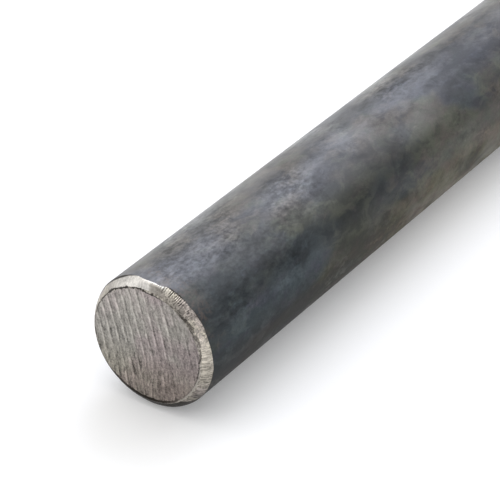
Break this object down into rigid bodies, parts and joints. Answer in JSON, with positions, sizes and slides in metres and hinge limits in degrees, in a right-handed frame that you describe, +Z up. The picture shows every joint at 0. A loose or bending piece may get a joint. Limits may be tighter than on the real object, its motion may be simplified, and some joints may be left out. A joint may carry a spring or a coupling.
{
  "type": "round steel bar",
  "caption": "Solid round hot-rolled steel bar with mill scale, sawn square at both ends, with a ground bevel round each sawn face.",
  "frame": {"origin": "on the floor, under the middle of the bar's length", "axes": "+X along the bar, away from the end that faces the viewer; +Z up"},
  "size_m": [0.5, 0.02, 0.02],
  "materials": {
    "hot_rolled_steel": "matt blue-grey mill scale on the round surface, bare sawn faces and bright ground bevels at the ends"
  },
  "bodies": {
    "root": {"round_bar": "hot_rolled_steel"}
  },
  "joints": []
}
